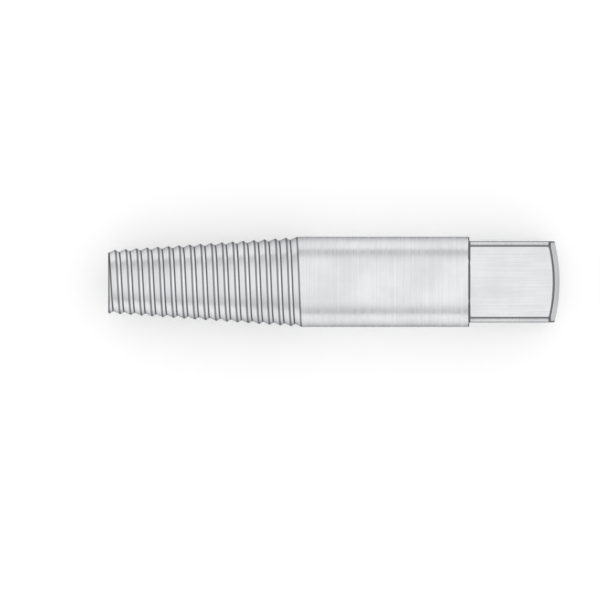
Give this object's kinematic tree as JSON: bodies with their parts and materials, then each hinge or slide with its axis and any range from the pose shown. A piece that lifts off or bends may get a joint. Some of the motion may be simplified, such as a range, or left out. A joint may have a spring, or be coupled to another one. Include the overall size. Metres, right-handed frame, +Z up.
{
  "type": "screw extractor",
  "caption": "Tapered screw extractor with a fine sawtooth thread on its cone, a plain round shank and a square drive end with a domed face.",
  "frame": {"origin": "centre of the flat tip face, on the tool's axis", "axes": "+X along the tool's axis from the tip to the domed drive end; +Z up, out of the upper drive flat; +Y out of a side drive flat"},
  "size_m": [0.1, 0.02, 0.02],
  "materials": {
    "hardened_steel": "pale grey hardened steel, finely ground to a satin sheen"
  },
  "bodies": {
    "root": {"screw_extractor": "hardened_steel"}
  },
  "joints": []
}
